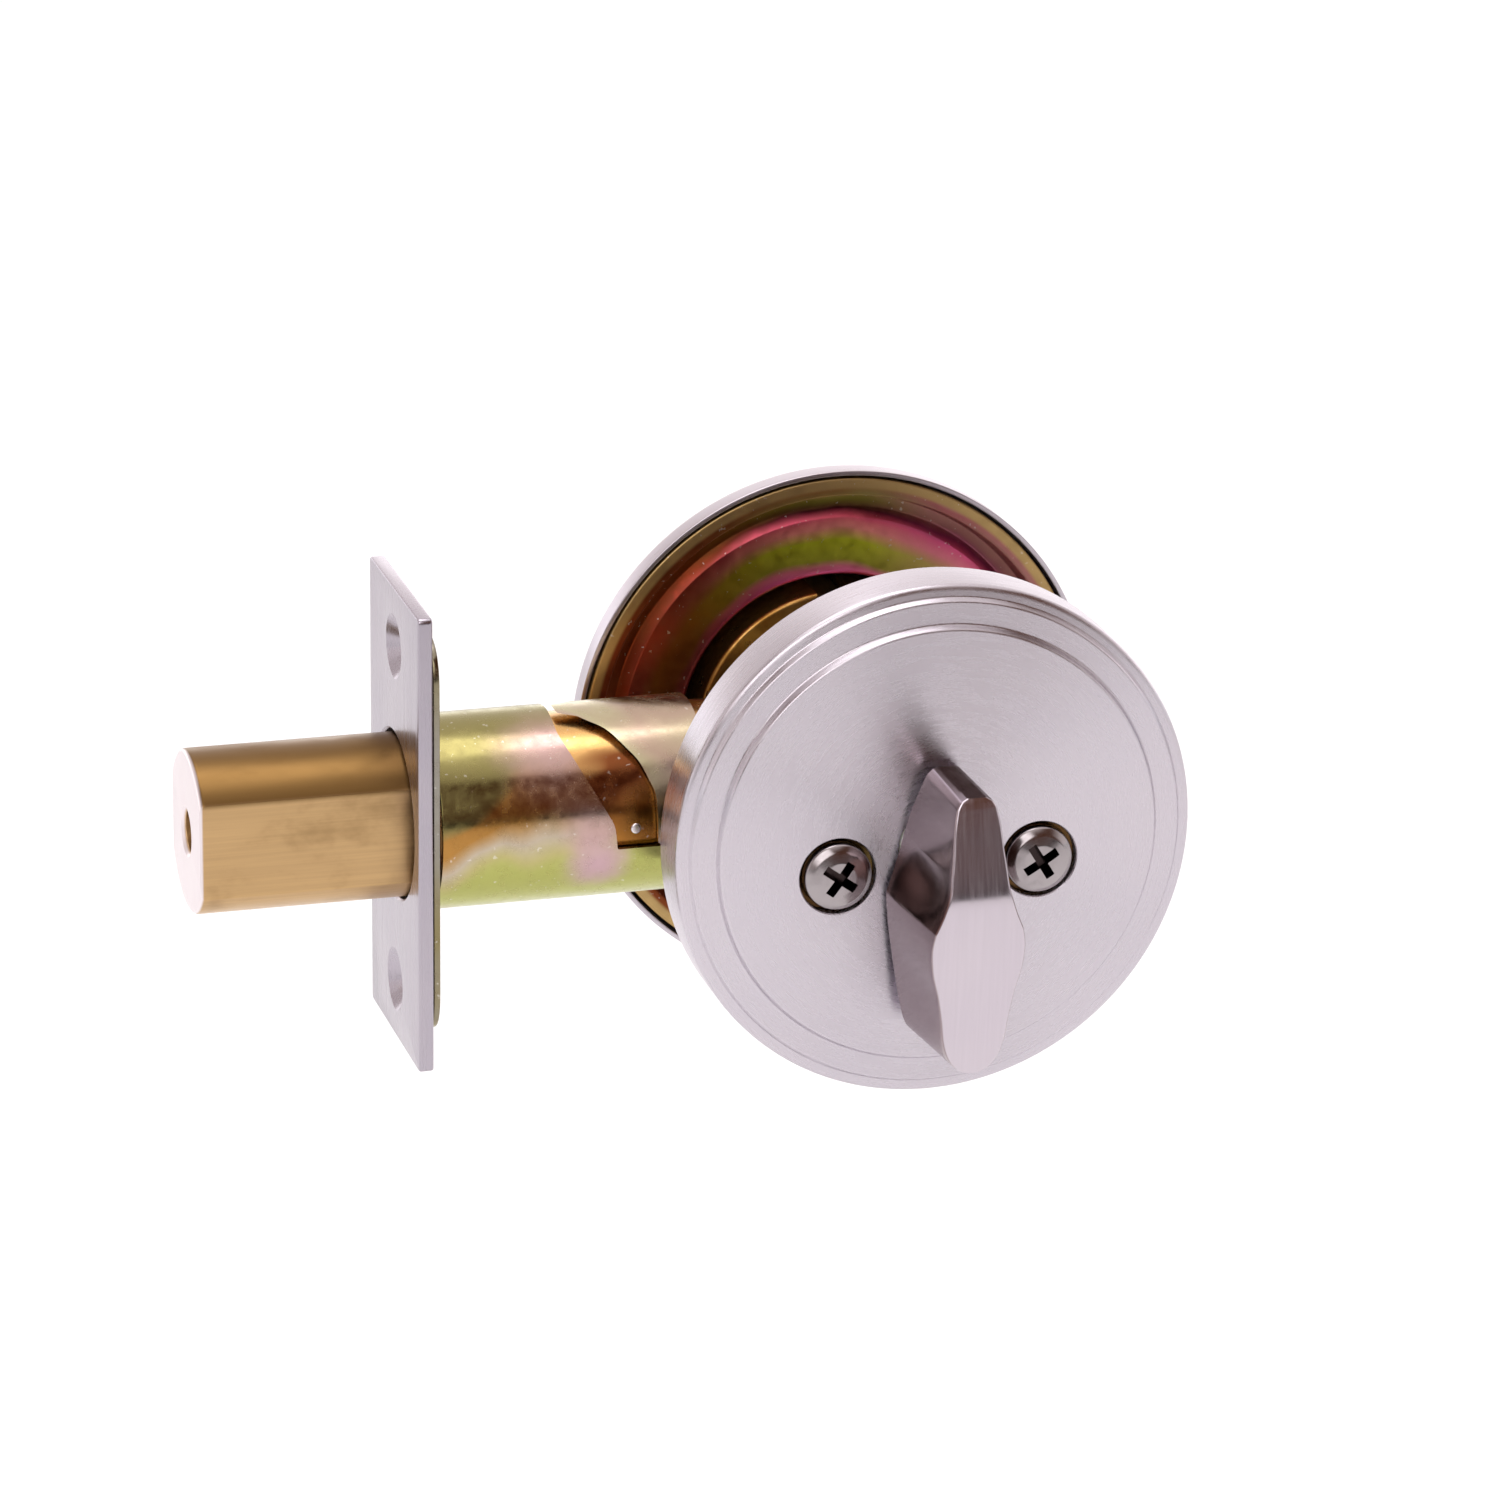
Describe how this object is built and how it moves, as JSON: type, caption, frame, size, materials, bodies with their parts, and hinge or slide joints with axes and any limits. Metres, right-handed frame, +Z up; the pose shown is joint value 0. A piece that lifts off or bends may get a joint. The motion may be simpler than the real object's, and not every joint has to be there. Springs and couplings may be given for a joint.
{
  "type": "deadbolt door lock",
  "caption": "Satin deadbolt lock for a door: a thrown brass bolt in a plated tube with a faceplate, a round rose with a turn lever, and a keyed cylinder in a tapered collar.",
  "frame": {"origin": "crossing of the hub axis and the bolt axis, at the centre of the door's cross bore and at mid thickness of the door", "axes": "-X leaves the door's edge along the bolt, -Y faces the room with the turn lever, +Y the street with the cylinder, +Z up"},
  "size_m": [0.119, 0.0823, 0.0666],
  "materials": {
    "satin_chrome": "circular-brushed satin chrome, pinkish grey",
    "brass": "drawn brass, a little tarnished",
    "zinc_yellow": "yellow zinc plate with green and pink iridescence",
    "zinc_rose": "zinc plate, mostly rose iridescence",
    "zinc_amber": "zinc plate, deep amber",
    "bright_steel": "bright nickel plate",
    "spring_steel": "dark spring steel",
    "nylon": "natural nylon"
  },
  "bodies": {
    "lock_case": {"interior_rose": "satin_chrome", "rose_liner": "zinc_yellow", "turn_bushing": "nylon", "turn_spring_washer": "spring_steel", "mounting_screw_left": "bright_steel", "mounting_screw_right": "bright_steel", "faceplate": "satin_chrome", "backplate": "zinc_yellow", "front_tube": "zinc_yellow", "rear_sleeve": "zinc_rose", "inner_tube": "zinc_amber", "tube_rivet": "bright_steel", "cam_case": "zinc_yellow", "case_spacer_left": "bright_steel", "case_spacer_right": "bright_steel", "detent_spring": "spring_steel", "cylinder_collar": "satin_chrome", "reinforcing_ring": "zinc_yellow", "cylinder_body": "satin_chrome", "chamber_cap": "brass", "driver_pin_1": "brass", "pin_spring_1": "spring_steel", "driver_pin_2": "brass", "pin_spring_2": "spring_steel", "driver_pin_3": "brass", "pin_spring_3": "spring_steel", "driver_pin_4": "brass", "pin_spring_4": "spring_steel", "driver_pin_5": "brass", "pin_spring_5": "spring_steel"},
    "turn": {"turn_piece": "satin_chrome", "turn_retainer": "spring_steel", "tailpiece": "bright_steel", "crank_hub": "spring_steel", "crank_pin": "bright_steel"},
    "bolt": {"bolt": "brass", "anti_saw_pin": "spring_steel", "bolt_tail": "zinc_yellow", "tail_rivet": "bright_steel"},
    "plug": {"cylinder_plug": "satin_chrome", "plug_clip": "spring_steel", "tailpiece_cap": "brass", "key_pin_1": "brass", "key_pin_2": "brass", "key_pin_3": "brass", "key_pin_4": "brass", "key_pin_5": "brass"}
  },
  "joints": [
    {"name": "turn_hinge", "type": "hinge", "parent": "lock_case", "child": "turn", "pos_m": [0, 0, 0], "axis": [0, -1, 0], "range_deg": [0, 90]},
    {"name": "bolt_slide", "type": "slide", "parent": "lock_case", "child": "bolt", "axis": [1, 0, 0], "range_m": [0, 0.0254]},
    {"name": "plug_hinge", "type": "hinge", "parent": "lock_case", "child": "plug", "pos_m": [0, 0, 0], "axis": [0, 1, 0], "range_deg": [-90, 90]}
  ],
  "couplings": [
    {"joint": "bolt_slide", "follows": "turn_hinge", "m_per_rad": 0.01617}
  ]
}
